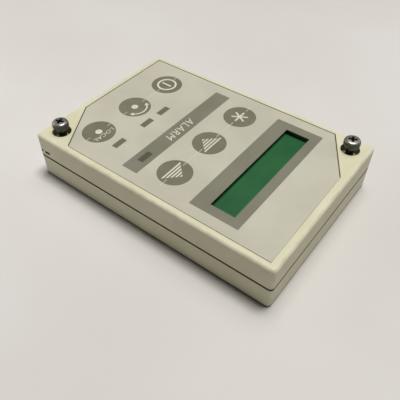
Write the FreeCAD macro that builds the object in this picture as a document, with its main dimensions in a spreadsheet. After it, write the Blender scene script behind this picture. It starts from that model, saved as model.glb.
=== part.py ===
import FreeCAD, Part
import os
import re
import Sketcher

# Operator panel of a heat recovery unit, in millimetres.
# The origin is the centre of the back face. +Z points out of the front, +Y points to the display end.

SIZES = [
    # how far a cutting tool runs past the face it cuts
    ("past", 1),
    # case
    ("case_width", 92), ("case_length", 136.5), ("case_depth", 25),
    ("side_wall", 2.5), ("front_wall", 2.3), ("back_wall", 2.5),
    ("corner_radius", 2), ("inner_radius", 1), ("front_edge_radius", 1.7), ("back_edge_radius", 0.8),
    ("parting_height", 12.2), ("parting_gap", 0.5), ("tongue_width", 1), ("tongue_rise", 1.8),
    ("tongue_clearance", 0.1), ("seal_setback", 0.6),
    ("slot_length", 2.8), ("slot_height", 1.1), ("slot_deep", 1.4), ("slot_from_end", 4.5),
    ("slot_rise", 2.4), ("notch_deep", 1.6), ("notch_length", 2.6),
    # front film
    ("rim_side", 3.5), ("rim_end", 4), ("film_cut_across", 27), ("film_cut_along", 16),
    ("film_thickness", 0.25), ("adhesive_thickness", 0.15), ("adhesive_inset", 0.3),
    ("recess_deep", 0.5), ("film_gap", 0.4),
    # keys and switches
    ("key_radius", 8.25), ("key_clearance", 0.08), ("key_pitch", 26),
    ("upper_row", 3.5), ("lower_row", -44.7),
    ("key_flange", 1), ("key_flange_thickness", 1), ("key_stem_radius", 2.2), ("key_stem_length", 0.2),
    ("switch_width", 6), ("switch_height", 3.5), ("plunger_radius", 1.75), ("plunger_clearance", 0.05),
    ("plunger_hold", 1), ("plunger_room", 0.5),
    # display
    ("display_x", 0.3), ("display_y", 34.1), ("window_width", 63.7), ("window_height", 12.6),
    ("gasket_inset", 0.3), ("gasket_wall", 1.6), ("gasket_clearance", 0.1),
    ("bezel_width", 71.2), ("bezel_height", 25.2), ("bezel_sheet", 0.4), ("bezel_opening_extra", 0.6),
    ("glass_width", 69), ("glass_height", 23), ("glass_thickness", 2.2),
    ("strip_width", 2), ("strip_offset", 9.5), ("light_gap", 3), ("light_width", 66), ("light_height", 15),
    ("display_board_width", 80), ("display_board_height", 36), ("board_thickness", 1.6),
    ("display_hole_x", 37.5), ("display_hole_y", 15.5), ("display_boss_radius", 2.5),
    ("blob_radius", 6.5), ("blob_height", 1.3), ("blob_spacing", 26), ("blob_drop", 4),
    # pin row between the boards
    ("pin_pitch", 2.54), ("pin_width", 0.64), ("pin_hole_radius", 0.5), ("first_pin_x", 8),
    ("header_width", 2.5), ("header_height", 2.5), ("pin_below", 3), ("pin_above", 2.4),
    # main board
    ("board_edge", 2.5), ("board_length", 103), ("boss_key_gap", 0.5),
    ("board_hole_high", 12.5), ("board_hole_low", -49), ("board_boss_radius", 2.75),
    ("small_screw_radius", 1.2), ("pilot_clearance", 0.05), ("pilot_room", 0.5),
    ("board_hole_clearance", 0.2), ("small_head_radius", 2.2), ("small_head_height", 1.6),
    ("display_screw_bite", 4.5), ("board_screw_bite", 6),
    ("chip_width", 14), ("chip_height", 2.3), ("chip_x", -20), ("chip_y", -21),
    ("line_chip_width", 4), ("line_chip_length", 5), ("line_chip_height", 1.6), ("line_chip_x", -20),
    ("line_chip_y", 24), ("crystal_width", 11), ("crystal_length", 4.6), ("crystal_height", 3.6),
    ("crystal_x", -20), ("crystal_y", -8), ("capacitor_radius", 3.15), ("capacitor_height", 5.4),
    ("capacitor_x", 13), ("capacitor_y", -14), ("capacitor_spacing", 8),
    # indicators
    ("lamp_width", 7.3), ("lamp_height", 3.1), ("lamp_near", 6.25), ("lamp_far", 26.2), ("lamp_row", -30.7),
    ("alarm_row", -14.2), ("lens_clearance", 0.05), ("lens_drop", 0.05), ("lens_step", 0.6),
    ("lens_foot", 0.3),
    ("led_radius", 1.5), ("led_flange_radius", 1.9), ("led_flange_height", 1), ("led_length", 5.3),
    ("led_gap", 0.4), ("lead_hole_radius", 0.4), ("lead_spacing", 1.27),
    # terminals
    ("terminal_width", 20.3), ("terminal_depth", 8), ("terminal_height", 10), ("terminal_y", 35.5),
    ("terminal_pitch", 5.08), ("well_radius", 1.95), ("well_deep", 2), ("well_clearance", 0.15),
    ("terminal_head_height", 1.2), ("wire_mouth", 3), ("wire_mouth_deep", 4), ("wire_mouth_up", 3),
    ("terminal_pin_radius", 0.5), ("terminal_pin_length", 2.6), ("terminal_hole_clearance", 0.15),
    ("access_width", 26), ("access_length", 18), ("access_y", 31),
    # corner screws
    ("screw_from_side", 9.3), ("screw_from_end", 8.95), ("corner_boss_wall", 1.6), ("web_thickness", 1.5),
    ("web_start", 15), ("boss_joint", 13), ("boss_bite", 0.2),
    ("sink_clearance", 0.6), ("sink_deep", 4.5), ("screw_radius", 2), ("screw_hole_clearance", 0.25),
    ("screw_length", 25), ("screw_stand", 3.1), ("head_radius", 4), ("head_height", 3.1), ("head_round", 1.5),
    ("tip_chamfer", 0.6), ("recess_arm_length", 4.6), ("recess_arm_width", 0.9), ("recess_arm_deep", 1.7),
    ("recess_cone_radius", 1.1), ("recess_cone_deep", 2.2),
    ("washer_radius", 3.5), ("washer_thickness", 1.2), ("washer_split", 0.7), ("running_clearance", 0.05),
    ("ring_radius", 4), ("ring_thickness", 1.2), ("ring_pocket_clearance", 0.1),
    ("case_screw_radius", 1.45), ("case_screw_bite", 6), ("case_screw_seat", 7), ("case_head_radius", 2.8),
    ("case_head_height", 2), ("case_head_clearance", 0.4), ("case_hole_clearance", 0.25),
]
size = dict(SIZES)

# places that follow the case, the keys and the screws
FILM_WIDTH = "(case_width - 2 * rim_side)"
FILM_LENGTH = "(case_length - 2 * rim_end)"
SCREW_X = "(case_width / 2 - screw_from_side)"
SCREW_Y = "(case_length / 2 - screw_from_end)"
SCREW_HOLE = "(screw_radius + screw_hole_clearance)"
SINK_RADIUS = "(head_radius + sink_clearance)"
BOSS_RADIUS = "(head_radius + sink_clearance + corner_boss_wall)"
BOARD_HOLE_X = "(key_pitch + key_radius + key_flange + boss_key_gap + board_boss_radius)"

KEYS = {
    "star": ("-key_pitch", "upper_row"),
    "down": ("0", "upper_row"),
    "up": ("key_pitch", "upper_row"),
    "start_stop": ("-key_pitch", "lower_row"),
    "direction": ("0", "lower_row"),
    "local": ("key_pitch", "lower_row"),
}
LAMPS = [
    ("-lamp_near", "lamp_row"),
    ("lamp_near", "lamp_row"),
    ("lamp_far", "lamp_row"),
    ("lamp_far", "alarm_row"),
]
CAPTIVE = {"top": ("-" + SCREW_X, SCREW_Y), "bottom": (SCREW_X, "-" + SCREW_Y)}
CLOSING = {"top": (SCREW_X, SCREW_Y), "bottom": ("-" + SCREW_X, "-" + SCREW_Y)}
DISPLAY_HOLES = [("display_x %s display_hole_x" % a, "display_y %s display_hole_y" % b)
                 for a in "+-" for b in "+-"]
BOARD_HOLES = [(a + BOARD_HOLE_X, b) for a in ("", "-") for b in ("board_hole_high", "board_hole_low")]
TERMINALS = ["%s * terminal_pitch" % step for step in (-1.5, -0.5, 0.5, 1.5)]
PIN_COUNT = 16

# heights through the stack, from the front face down
RECESS_FLOOR = "(case_depth - recess_deep)"
FILM_BOTTOM = "(case_depth - recess_deep + adhesive_thickness)"
FILM_TOP = "(case_depth - recess_deep + adhesive_thickness + film_thickness)"
INNER_FACE = "(case_depth - front_wall)"
FLANGE_BOTTOM = "(case_depth - front_wall - key_flange_thickness)"
STEM_BOTTOM = "(case_depth - front_wall - key_flange_thickness - key_stem_length)"
GLASS_TOP = "(case_depth - front_wall - bezel_sheet)"
GLASS_BOTTOM = "(case_depth - front_wall - bezel_sheet - glass_thickness)"
DISPLAY_BOARD_TOP = "(case_depth - front_wall - bezel_sheet - glass_thickness - light_gap)"
DISPLAY_BOARD_BOTTOM = "(%s - board_thickness)" % DISPLAY_BOARD_TOP
BOARD_TOP = "(%s - header_height)" % DISPLAY_BOARD_BOTTOM
BOARD_BOTTOM = "(%s - board_thickness)" % BOARD_TOP
SWITCH_TOP = "(%s + switch_height)" % BOARD_TOP
UNDER_HEAD = "(case_depth + screw_stand)"
COVER_EDGE = "(parting_height + parting_gap)"
TONGUE_TOP = "(parting_height + tongue_rise)"
PIN_ROW_Y = "(display_y + display_hole_y)"

doc = FreeCAD.newDocument("operator_panel")
sheet = doc.addObject("Spreadsheet::Sheet", "Sizes")
for row, (alias, number) in enumerate(SIZES, 1):
    sheet.set("A%d" % row, alias)
    sheet.set("B%d" % row, str(number))
    sheet.setAlias("B%d" % row, alias)
doc.recompute()

nodes = []


def bound(formula):
    """Point each size named in a formula at its cell in the sheet."""
    return re.sub(r"[a-z]\w*", lambda word: "Sizes." + word.group(), formula)


def bind(item, path, formula):
    item.setExpression(path, bound(formula))


def place(item, x, y, z):
    for axis, formula in zip("xyz", (x, y, z)):
        bind(item, "Placement.Base." + axis, formula)


def block(name, x, y, width, length, low, high):
    """Box centred on x, y, between two heights."""
    item = doc.addObject("Part::Box", name)
    bind(item, "Length", width)
    bind(item, "Width", length)
    bind(item, "Height", "%s - (%s)" % (high, low))
    place(item, "%s - (%s) / 2" % (x, width), "%s - (%s) / 2" % (y, length), low)
    return item


def rod(name, x, y, radius, low, high):
    item = doc.addObject("Part::Cylinder", name)
    bind(item, "Radius", radius)
    bind(item, "Height", "%s - (%s)" % (high, low))
    place(item, x, y, low)
    return item


def fuse(name, items):
    item = doc.addObject("Part::MultiFuse", name)
    item.Shapes = items
    return item


def cut(name, base, tools):
    item = doc.addObject("Part::Cut", name)
    item.Base = base
    item.Tool = tools[0] if len(tools) == 1 else fuse(name + "_tools", tools)
    return item


def group(name, items):
    item = doc.addObject("Part::Compound", name)
    item.Links = items
    return item


def node(item, label):
    """Register a finished piece under the name it is written out with."""
    item.Label = label
    nodes.append(item)
    return item


def body_named(name):
    return doc.addObject("PartDesign::Body", name)


def sketch_at(body, name, level):
    sketch = body.newObject("Sketcher::SketchObject", name)
    plane = [item for item in body.Origin.OriginFeatures if item.Role == "XY_Plane"][0]
    sketch.AttachmentSupport = [(plane, "")]
    sketch.MapMode = "FlatFace"
    bind(sketch, "AttachmentOffset.Base.z", level)
    return sketch


def outline(body, name, corners, level):
    """Closed polygon whose corners follow formulas in x and y."""
    sketch = sketch_at(body, name, level)
    count = len(corners)
    turn = FreeCAD.Rotation(FreeCAD.Vector(0, 0, 1), 360 / count)
    points = [FreeCAD.Vector(10, 5, 0)]
    for _ in range(count - 1):
        points.append(turn.multVec(points[-1]))
    for i in range(count):
        sketch.addGeometry(Part.LineSegment(points[i], points[(i + 1) % count]), False)
    for i in range(count):
        sketch.addConstraint(Sketcher.Constraint("Coincident", i, 2, (i + 1) % count, 1))
    for i, corner in enumerate(corners):
        distances = (("DistanceX", points[i].x, corner[0]), ("DistanceY", points[i].y, corner[1]))
        for kind, start, formula in distances:
            index = sketch.addConstraint(Sketcher.Constraint(kind, -1, 1, i, 1, start))
            bind(sketch, "Constraints[%d]" % index, formula)
    return sketch


def rectangle(width, length):
    """Corners of a rectangle centred on the origin."""
    x, y = "(%s) / 2" % width, "(%s) / 2" % length
    return [("-" + x, "-" + y), (x, "-" + y), (x, y), ("-" + x, y)]


def film_outline(grow):
    """Corners of the film shape, grown outwards: a rectangle with two opposite corners cut off."""
    x, y = "(%s / 2 + %s)" % (FILM_WIDTH, grow), "(%s / 2 + %s)" % (FILM_LENGTH, grow)
    return [
        ("-" + x, "-" + y), (x + " - film_cut_across", "-" + y), (x, "-" + y + " + film_cut_along"),
        (x, y), ("-" + x + " + film_cut_across", y), ("-" + x, y + " - film_cut_along"),
    ]


def pad(body, name, sketch, length):
    item = body.newObject("PartDesign::Pad", name)
    item.Profile = sketch
    bind(item, "Length", length)
    doc.recompute()
    return item


def pocket(body, name, sketch, length, upwards):
    before = body.Tip.Shape.Volume
    item = body.newObject("PartDesign::Pocket", name)
    item.Profile = sketch
    item.Reversed = upwards
    bind(item, "Length", length)
    doc.recompute()
    if not item.Shape.Volume < before - 1e-6:
        raise RuntimeError(name + " cuts nothing")
    return item


def round_edges(body, name, radius, wanted):
    """Fillet the edges of the body's last feature that pass a test."""
    base = body.Tip
    chosen = ["Edge%d" % (i + 1) for i, edge in enumerate(base.Shape.Edges) if wanted(edge)]
    item = body.newObject("PartDesign::Fillet", name)
    item.Base = (base, chosen)
    bind(item, "Radius", radius)
    doc.recompute()
    return item


def upright_at(half_x, half_y):
    """Test for the vertical edges that stand at one distance from the middle."""
    def wanted(edge):
        box = edge.BoundBox
        upright = box.ZLength > 0.1 and box.XLength < 1e-6 and box.YLength < 1e-6
        return upright and abs(abs(box.Center.x) - half_x) < 1e-4 and abs(abs(box.Center.y) - half_y) < 1e-4
    return wanted


def level_at(height, least_half_x):
    """Test for the edges that lie at one height, out at the rim."""
    def wanted(edge):
        box = edge.BoundBox
        flat = box.ZLength < 1e-6 and abs(box.Center.z - height) < 1e-4
        reach = max(abs(box.XMin), abs(box.XMax)) > least_half_x - 3 or abs(box.Center.y) > least_half_x
        return flat and reach
    return wanted


def shell(name, low, high):
    """Solid block of the case between two heights, with rounded upright corners."""
    body = body_named(name)
    sketch = outline(body, name + "_outline", rectangle("case_width", "case_length"), low)
    pad(body, name + "_block", sketch, "%s - %s" % (high, low))
    corners = upright_at(size["case_width"] / 2, size["case_length"] / 2)
    round_edges(body, name + "_corners", "corner_radius", corners)
    return body


def hollow(body, name, low, length, upwards, width="case_width - 2 * side_wall",
           depth="case_length - 2 * side_wall"):
    """Hollow out the shell, and give back where the inner corners stand."""
    pocket(body, name, outline(body, name + "_outline", rectangle(width, depth), low), length, upwards)
    inner_x = size["case_width"] / 2 - size["side_wall"]
    inner_y = size["case_length"] / 2 - size["side_wall"]
    return inner_x, inner_y


def webs(name, x, y, low, high):
    """Two ribs that tie a corner boss to the side and end walls."""
    side = "-1" if x.startswith("-") else "1"
    end = "-1" if y.startswith("-") else "1"
    to_side = "(screw_from_side - side_wall + boss_bite)"
    to_end = "(screw_from_end - side_wall + boss_bite)"
    side_x = "%s + %s * %s / 2" % (x, side, to_side)
    end_y = "%s + %s * %s / 2" % (y, end, to_end)
    return [
        block(name + "_side_web", side_x, y, to_side, "web_thickness", low, high),
        block(name + "_end_web", x, end_y, "web_thickness", to_end, low, high),
    ]


# front cover
def front_cover():
    body = shell("front_shell", COVER_EDGE, "case_depth")
    round_edges(body, "front_edge", "front_edge_radius", level_at(size["case_depth"], size["case_width"] / 2))
    inner_x, inner_y = hollow(body, "front_hollow", COVER_EDGE, "%s - %s" % (INNER_FACE, COVER_EDGE), True)
    round_edges(body, "front_inner_corners", "inner_radius", upright_at(inner_x, inner_y))
    hollow(body, "tongue_groove", COVER_EDGE, "%s - %s" % (TONGUE_TOP, COVER_EDGE), True,
           "case_width - 2 * side_wall + 2 * tongue_width + 2 * tongue_clearance",
           "case_length - 2 * side_wall + 2 * tongue_width + 2 * tongue_clearance")
    added = [body]
    top = INNER_FACE + " + boss_bite"
    for name, (x, y) in list(CAPTIVE.items()) + [("closing_" + key, spot) for key, spot in CLOSING.items()]:
        added.append(rod("front_boss_" + name, x, y, BOSS_RADIUS, "boss_joint", top))
        added += webs("front_boss_" + name, x, y, "web_start", top)
    for i, (x, y) in enumerate(DISPLAY_HOLES):
        added.append(rod("display_boss_%d" % i, x, y, "display_boss_radius", DISPLAY_BOARD_TOP, top))
    for i, (x, y) in enumerate(BOARD_HOLES):
        added.append(rod("board_boss_%d" % i, x, y, "board_boss_radius", BOARD_TOP, top))
    taken = []
    recess = body_named("film_recess")
    sketch = outline(recess, "film_recess_outline", film_outline("film_gap"), RECESS_FLOOR)
    pad(recess, "film_recess_block", sketch, "recess_deep + past")
    taken.append(recess)
    opening = "2 * gasket_inset + 2 * gasket_wall + 2 * gasket_clearance"
    taken.append(block("display_opening", "display_x", "display_y", "window_width + " + opening,
                       "window_height + " + opening, INNER_FACE + " - past", "case_depth"))
    for key, (x, y) in KEYS.items():
        taken.append(rod("key_opening_" + key, x, y, "key_radius + key_clearance", INNER_FACE + " - past",
                         "case_depth"))
    for i, (x, y) in enumerate(LAMPS):
        taken.append(block("lamp_opening_%d" % i, x, y, "lamp_width - 2 * lens_step + 2 * lens_clearance",
                           "lamp_height - lens_step + 2 * lens_clearance", INNER_FACE + " - past",
                           "case_depth"))
    for name, (x, y) in CAPTIVE.items():
        taken.append(rod("sink_" + name, x, y, SINK_RADIUS, "case_depth - sink_deep", "case_depth + past"))
        taken.append(rod("front_screw_hole_" + name, x, y, SCREW_HOLE, "boss_joint - past", "case_depth"))
        taken.append(rod("ring_pocket_" + name, x, y, "ring_radius + ring_pocket_clearance",
                         "boss_joint - past", "boss_joint + ring_thickness + ring_pocket_clearance"))
    for name, (x, y) in CLOSING.items():
        taken.append(rod("case_pilot_" + name, x, y, "case_screw_radius + pilot_clearance",
                         "boss_joint - past", "boss_joint + case_screw_bite + pilot_room"))
    for i, (x, y) in enumerate(DISPLAY_HOLES):
        taken.append(rod("display_pilot_%d" % i, x, y, "small_screw_radius + pilot_clearance",
                         DISPLAY_BOARD_TOP + " - past",
                         DISPLAY_BOARD_TOP + " + display_screw_bite + pilot_room"))
    for i, (x, y) in enumerate(BOARD_HOLES):
        taken.append(rod("board_pilot_%d" % i, x, y, "small_screw_radius + pilot_clearance",
                         BOARD_TOP + " - past", BOARD_TOP + " + board_screw_bite + pilot_room"))
    # slot and notch at one corner where a blade opens the case
    slot_low = COVER_EDGE + " + slot_rise"
    taken.append(block("opening_slot", "case_width / 2", "slot_from_end + slot_length / 2 - case_length / 2",
                       "2 * slot_deep", "slot_length", slot_low, slot_low + " + slot_height"))
    taken.append(block("opening_notch", "case_width / 2", "-case_length / 2", "2 * notch_deep",
                       "2 * notch_length", slot_low, slot_low + " + slot_height"))
    return node(cut("front_cover", fuse("front_cover_whole", added), taken), "front_cover")


# rear cover
def rear_cover():
    body = shell("rear_shell", "0", "parting_height")
    round_edges(body, "back_edge", "back_edge_radius", level_at(0, size["case_width"] / 2))
    tongue = outline(body, "tongue_outline", rectangle("case_width - 2 * side_wall + 2 * tongue_width",
                                                       "case_length - 2 * side_wall + 2 * tongue_width"),
                     "parting_height")
    pad(body, "tongue", tongue, "tongue_rise")
    inner_x, inner_y = hollow(body, "rear_hollow", TONGUE_TOP, TONGUE_TOP + " - back_wall", False)
    round_edges(body, "rear_inner_corners", "inner_radius", upright_at(inner_x, inner_y))
    added = [body]
    for name, (x, y) in list(CAPTIVE.items()) + [("closing_" + key, spot) for key, spot in CLOSING.items()]:
        added.append(rod("rear_boss_" + name, x, y, BOSS_RADIUS, "back_wall - boss_bite", "boss_joint"))
        added += webs("rear_boss_" + name, x, y, "back_wall - boss_bite", "parting_height")
    taken = [block("access_opening", "0", "access_y", "access_width", "access_length",
                   "-past", "back_wall + past")]
    for name, (x, y) in CAPTIVE.items():
        taken.append(rod("rear_screw_hole_" + name, x, y, SCREW_HOLE, "-past", "boss_joint + past"))
    for name, (x, y) in CLOSING.items():
        taken.append(rod("case_head_room_" + name, x, y, "case_head_radius + case_head_clearance", "-past",
                         "case_screw_seat"))
        taken.append(rod("case_screw_hole_" + name, x, y, "case_screw_radius + case_hole_clearance", "-past",
                         "boss_joint + past"))
    return node(cut("rear_cover", fuse("rear_cover_whole", added), taken), "rear_cover")


def case_seal():
    inner = "- 2 * side_wall + 2 * tongue_width + 2 * tongue_clearance"
    ring = block("seal_block", "0", "0", "case_width - 2 * seal_setback", "case_length - 2 * seal_setback",
                 "parting_height", COVER_EDGE)
    hole = block("seal_hole", "0", "0", "case_width " + inner, "case_length " + inner, "parting_height - past",
                 COVER_EDGE + " + past")
    return node(cut("case_seal", ring, [hole]), "case_seal")


# front film and its glue
def film_layer(name, low, thickness, inset, key_gap, window_extra, lamp_extra):
    body = body_named(name + "_sheet")
    sketch = outline(body, name + "_outline", film_outline("(-%s)" % inset), low)
    pad(body, name + "_block", sketch, thickness)
    high = "%s + %s + past" % (low, thickness)
    taken = [block(name + "_window", "display_x", "display_y", "window_width + 2 * " + window_extra,
                   "window_height + 2 * " + window_extra, low + " - past", high)]
    for key, (x, y) in KEYS.items():
        taken.append(rod("%s_key_%s" % (name, key), x, y, "key_radius + " + key_gap, low + " - past", high))
    for i, (x, y) in enumerate(LAMPS):
        taken.append(block("%s_lamp_%d" % (name, i), x, y, "lamp_width + 2 * " + lamp_extra,
                           "lamp_height + 2 * " + lamp_extra, low + " - past", high))
    return node(cut(name, body, taken), name)


# keys, switch plungers and switch bodies
def keys_and_switches():
    switches = []
    for key, (x, y) in KEYS.items():
        disc = rod("key_disc_" + key, x, y, "key_radius", FLANGE_BOTTOM, FILM_TOP)
        flange = rod("key_flange_" + key, x, y, "key_radius + key_flange", FLANGE_BOTTOM, INNER_FACE)
        stem = rod("key_stem_" + key, x, y, "key_stem_radius", STEM_BOTTOM, INNER_FACE)
        node(fuse("key_" + key, [disc, flange, stem]), "key_" + key)
        node(rod("plunger_" + key, x, y, "plunger_radius", SWITCH_TOP + " - plunger_hold", STEM_BOTTOM),
             "plunger_" + key)
        case = block("switch_case_" + key, x, y, "switch_width", "switch_width", BOARD_TOP, SWITCH_TOP)
        room = rod("switch_room_" + key, x, y, "plunger_radius + plunger_clearance",
                   SWITCH_TOP + " - plunger_hold - plunger_room", SWITCH_TOP + " + past")
        switches.append(cut("switch_" + key, case, [room]))
    node(group("switch_bodies", switches), "switch_bodies")


# display module
def display():
    inner_w = "window_width + 2 * gasket_inset"
    inner_h = "window_height + 2 * gasket_inset"
    frame = block("gasket_block", "display_x", "display_y", inner_w + " + 2 * gasket_wall",
                  inner_h + " + 2 * gasket_wall", INNER_FACE, RECESS_FLOOR)
    hole = block("gasket_hole", "display_x", "display_y", inner_w, inner_h,
                 INNER_FACE + " - past", "case_depth")
    node(cut("display_gasket", frame, [hole]), "display_gasket")
    can = block("bezel_block", "display_x", "display_y", "bezel_width", "bezel_height",
                DISPLAY_BOARD_TOP, INNER_FACE)
    room = block("bezel_room", "display_x", "display_y", "bezel_width - 2 * bezel_sheet",
                 "bezel_height - 2 * bezel_sheet", DISPLAY_BOARD_TOP + " - past", GLASS_TOP)
    view = block("bezel_view", "display_x", "display_y", "window_width + 2 * bezel_opening_extra",
                 "window_height + 2 * bezel_opening_extra", GLASS_BOTTOM, "case_depth")
    node(cut("display_bezel", can, [room, view]), "display_bezel")
    node(block("display_glass", "display_x", "display_y", "glass_width", "glass_height",
               GLASS_BOTTOM, GLASS_TOP), "display_glass")
    node(block("display_backlight", "display_x", "display_y", "light_width", "light_height",
               DISPLAY_BOARD_TOP, GLASS_BOTTOM), "display_backlight")
    strips = [block("contact_strip_%d" % i, "display_x", "display_y %s strip_offset" % sign, "light_width",
                    "strip_width", DISPLAY_BOARD_TOP, GLASS_BOTTOM) for i, sign in enumerate("+-")]
    node(group("contact_strips", strips), "contact_strips")
    board = block("display_board_blank", "display_x", "display_y", "display_board_width",
                  "display_board_height", DISPLAY_BOARD_BOTTOM, DISPLAY_BOARD_TOP)
    holes = screw_holes("display_board", DISPLAY_HOLES, DISPLAY_BOARD_BOTTOM, DISPLAY_BOARD_TOP)
    holes += pin_holes("display_board", DISPLAY_BOARD_BOTTOM, DISPLAY_BOARD_TOP)
    node(cut("display_board", board, holes), "display_board")
    blobs = []
    for i, sign in enumerate("+-"):
        x = "display_x %s blob_spacing / 2" % sign
        blobs.append(rod("driver_blob_%d" % i, x, "display_y - blob_drop", "blob_radius",
                         DISPLAY_BOARD_BOTTOM + " - blob_height", DISPLAY_BOARD_BOTTOM))
    node(group("driver_blobs", blobs), "driver_blobs")
    node(small_screws("display_screws", DISPLAY_HOLES, DISPLAY_BOARD_BOTTOM,
                      DISPLAY_BOARD_TOP + " + display_screw_bite"), "display_screws")


def small_screws(name, spots, seat, tip):
    screws = []
    for i, (x, y) in enumerate(spots):
        head = rod("%s_head_%d" % (name, i), x, y, "small_head_radius", seat + " - small_head_height", seat)
        shank = rod("%s_shank_%d" % (name, i), x, y, "small_screw_radius",
                    seat + " - small_head_height / 2", tip)
        screws.append(fuse("%s_%d" % (name, i), [head, shank]))
    return group(name, screws)


def screw_holes(name, spots, low, high):
    return [rod("%s_hole_%d" % (name, i), x, y, "small_screw_radius + board_hole_clearance",
                low + " - past", high + " + past") for i, (x, y) in enumerate(spots)]


# pin row between the boards
def pin_spots():
    start = "display_x - display_board_width / 2 + first_pin_x"
    return ["%s + %d * pin_pitch" % (start, i) for i in range(PIN_COUNT)]


def pin_holes(name, low, high):
    return [rod("%s_pin_hole_%d" % (name, i), x, PIN_ROW_Y, "pin_hole_radius",
                low + " - past", high + " + past") for i, x in enumerate(pin_spots())]


def header():
    middle = "display_x - display_board_width / 2 + first_pin_x + %d * pin_pitch / 2" % (PIN_COUNT - 1)
    bar = block("header_bar", middle, PIN_ROW_Y, "%d * pin_pitch" % PIN_COUNT, "header_width", BOARD_TOP,
                DISPLAY_BOARD_BOTTOM)
    node(cut("header_housing", bar, pin_holes("header", BOARD_TOP, DISPLAY_BOARD_BOTTOM)), "header_housing")
    pins = [block("header_pin_%d" % i, x, PIN_ROW_Y, "pin_width", "pin_width", BOARD_TOP + " - pin_below",
                  DISPLAY_BOARD_BOTTOM + " + pin_above") for i, x in enumerate(pin_spots())]
    node(group("header_pins", pins), "header_pins")


# main board and what it carries
def main_board():
    board_width = "2 * %s + 2 * board_edge" % BOARD_HOLE_X
    board = block("main_board_blank", "0", "0", board_width, "board_length", BOARD_BOTTOM, BOARD_TOP)
    holes = screw_holes("main_board", BOARD_HOLES, BOARD_BOTTOM, BOARD_TOP)
    holes += pin_holes("main_board", BOARD_BOTTOM, BOARD_TOP)
    for i, x in enumerate(TERMINALS):
        holes.append(rod("terminal_pin_hole_%d" % i, x, "terminal_y",
                         "terminal_pin_radius + terminal_hole_clearance",
                         BOARD_BOTTOM + " - past", BOARD_TOP + " + past"))
    node(cut("main_board", board, holes), "main_board")
    node(small_screws("board_screws", BOARD_HOLES, BOARD_BOTTOM, BOARD_TOP + " + board_screw_bite"),
         "board_screws")
    node(block("controller_chip", "chip_x", "chip_y", "chip_width", "chip_width", BOARD_TOP,
               BOARD_TOP + " + chip_height"), "controller_chip")
    node(block("line_driver_chip", "line_chip_x", "line_chip_y", "line_chip_width", "line_chip_length",
               BOARD_BOTTOM + " - line_chip_height", BOARD_BOTTOM), "line_driver_chip")
    node(block("crystal_can", "crystal_x", "crystal_y", "crystal_width", "crystal_length", BOARD_TOP,
               BOARD_TOP + " + crystal_height"), "crystal_can")
    cans = [rod("capacitor_%d" % i, "capacitor_x", "capacitor_y - %d * capacitor_spacing" % i,
                "capacitor_radius", BOARD_TOP, BOARD_TOP + " + capacitor_height") for i in range(2)]
    node(group("capacitors", cans), "capacitors")


# indicator lamps
def indicators():
    lenses, lamps, spacers = [], [], []
    led_top = "(%s - lens_foot - led_gap)" % INNER_FACE
    led_bottom = "(%s - led_length)" % led_top
    for i, (x, y) in enumerate(LAMPS):
        plate = block("lens_plate_%d" % i, x, y, "lamp_width", "lamp_height", FILM_BOTTOM,
                      FILM_TOP + " - lens_drop")
        foot = block("lens_foot_%d" % i, x, y, "lamp_width - 2 * lens_step", "lamp_height - lens_step",
                     INNER_FACE + " - lens_foot", FILM_BOTTOM)
        lenses.append(fuse("lens_%d" % i, [plate, foot]))
        flange = rod("led_flange_%d" % i, x, y, "led_flange_radius", led_bottom,
                     led_bottom + " + led_flange_height")
        barrel = rod("led_barrel_%d" % i, x, y, "led_radius", led_bottom, led_top + " - led_radius")
        dome = doc.addObject("Part::Sphere", "led_dome_%d" % i)
        bind(dome, "Radius", "led_radius")
        place(dome, x, y, led_top + " - led_radius")
        lamps.append(fuse("led_%d" % i, [flange, barrel, dome]))
        tube = rod("spacer_tube_%d" % i, x, y, "led_flange_radius", BOARD_TOP, led_bottom)
        leads = [rod("lead_hole_%d_%d" % (i, j), "%s %s lead_spacing" % (x, sign), y, "lead_hole_radius",
                     BOARD_TOP + " - past", led_bottom + " + past") for j, sign in enumerate("+-")]
        spacers.append(cut("spacer_%d" % i, tube, leads))
    node(group("indicator_lenses", lenses), "indicator_lenses")
    node(group("indicator_leds", lamps), "indicator_leds")
    node(group("led_spacers", spacers), "led_spacers")


# terminals behind the access opening
def terminals():
    low = "(%s - terminal_height)" % BOARD_BOTTOM
    housing = block("terminal_blank", "0", "terminal_y", "terminal_width", "terminal_depth", low, BOARD_BOTTOM)
    taken, heads, pins = [], [], []
    for i, x in enumerate(TERMINALS):
        taken.append(rod("well_%d" % i, x, "terminal_y", "well_radius", low + " - past", low + " + well_deep"))
        taken.append(block("wire_mouth_%d" % i, x, "terminal_y - terminal_depth / 2", "wire_mouth",
                           "2 * wire_mouth_deep", low + " + wire_mouth_up",
                           low + " + wire_mouth_up + wire_mouth"))
        heads.append(rod("terminal_head_%d" % i, x, "terminal_y", "well_radius - well_clearance",
                         low + " + well_deep - terminal_head_height", low + " + well_deep"))
        pins.append(rod("terminal_pin_%d" % i, x, "terminal_y", "terminal_pin_radius", BOARD_BOTTOM,
                        BOARD_BOTTOM + " + terminal_pin_length"))
    node(cut("terminal_block", housing, taken), "terminal_block")
    node(group("terminal_screws", heads), "terminal_screws")
    node(group("terminal_pins", pins), "terminal_pins")


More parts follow.
